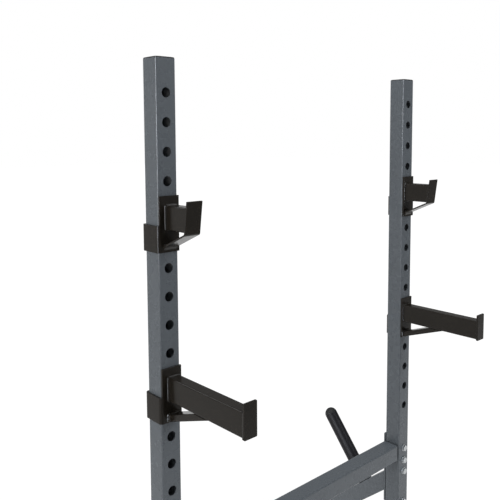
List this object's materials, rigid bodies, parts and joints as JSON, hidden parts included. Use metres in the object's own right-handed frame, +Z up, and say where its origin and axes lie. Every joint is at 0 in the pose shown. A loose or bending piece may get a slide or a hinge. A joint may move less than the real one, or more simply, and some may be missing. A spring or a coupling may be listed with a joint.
{
  "type": "squat stand",
  "caption": "Free-standing squat stand: drilled square uprights on braced feet, joined by a cross member, with swing-in bar hooks and spotter arms and plate storage pegs.",
  "frame": {"origin": "on the floor, midway between the uprights", "axes": "+Z up along the uprights, +X from the left upright to the right one, -Y the front, where hooks and arms point"},
  "size_m": [0.9606, 1.2332, 1.7273],
  "materials": {
    "frame_paint": "blue-grey powder coat, satin, fine texture",
    "black_paint": "warm black powder coat, semi-gloss",
    "peg_paint": "charcoal powder coat, semi-gloss",
    "cap_plastic": "moulded, matt",
    "boot_rubber": "moulded, matt",
    "zinc_plate": "zinc plated"
  },
  "bodies": {
    "frame": {"left_upright": "frame_paint", "left_foot": "frame_paint", "left_base_plate": "frame_paint", "left_rear_brace": "frame_paint", "left_brace_top_plate": "frame_paint", "left_brace_foot_plate": "frame_paint", "left_tab": "frame_paint", "left_front_boot": "boot_rubber", "left_rear_boot": "boot_rubber", "left_upright_cap": "cap_plastic", "left_storage_peg_cap": "cap_plastic", "left_storage_peg": "peg_paint", "left_tab_lower_bolt": "zinc_plate", "left_tab_upper_bolt": "zinc_plate", "left_brace_lower_bolt": "zinc_plate", "left_brace_upper_bolt": "zinc_plate", "left_base_front_bolt": "zinc_plate", "left_base_rear_bolt": "zinc_plate", "left_brace_foot_front_bolt": "zinc_plate", "left_brace_foot_rear_bolt": "zinc_plate", "right_upright": "frame_paint", "right_foot": "frame_paint", "right_base_plate": "frame_paint", "right_rear_brace": "frame_paint", "right_brace_top_plate": "frame_paint", "right_brace_foot_plate": "frame_paint", "right_tab": "frame_paint", "right_front_boot": "boot_rubber", "right_rear_boot": "boot_rubber", "right_upright_cap": "cap_plastic", "right_storage_peg_cap": "cap_plastic", "right_storage_peg": "peg_paint", "right_tab_lower_bolt": "zinc_plate", "right_tab_upper_bolt": "zinc_plate", "right_brace_lower_bolt": "zinc_plate", "right_brace_upper_bolt": "zinc_plate", "right_base_front_bolt": "zinc_plate", "right_base_rear_bolt": "zinc_plate", "right_brace_foot_front_bolt": "zinc_plate", "right_brace_foot_rear_bolt": "zinc_plate", "cross_member": "frame_paint"},
    "left_hook": {"left_hook_pin": "zinc_plate", "left_hook_bracket": "black_paint", "left_hook_arm": "black_paint", "left_hook_strip": "black_paint"},
    "left_spotter": {"left_spotter_pin": "zinc_plate", "left_spotter_bracket": "black_paint", "left_spotter_arm": "black_paint", "left_spotter_end_plate": "black_paint", "left_spotter_brace": "black_paint"},
    "right_hook": {"right_hook_pin": "zinc_plate", "right_hook_bracket": "black_paint", "right_hook_arm": "black_paint", "right_hook_strip": "black_paint"},
    "right_spotter": {"right_spotter_pin": "zinc_plate", "right_spotter_bracket": "black_paint", "right_spotter_arm": "black_paint", "right_spotter_end_plate": "black_paint", "right_spotter_brace": "black_paint"}
  },
  "joints": [
    {"name": "left_hook_swing", "type": "hinge", "parent": "frame", "child": "left_hook", "pos_m": [-0.44965, 0, 1.3965], "axis": [0, 1, 0], "range_deg": [0, 90]},
    {"name": "left_spotter_swing", "type": "hinge", "parent": "frame", "child": "left_spotter", "pos_m": [-0.44965, 0, 1.0155], "axis": [0, 1, 0], "range_deg": [0, 90]},
    {"name": "right_hook_swing", "type": "hinge", "parent": "frame", "child": "right_hook", "pos_m": [0.44965, 0, 1.3965], "axis": [0, -1, 0], "range_deg": [0, 90]},
    {"name": "right_spotter_swing", "type": "hinge", "parent": "frame", "child": "right_spotter", "pos_m": [0.44965, 0, 1.0155], "axis": [0, -1, 0], "range_deg": [0, 90]}
  ]
}
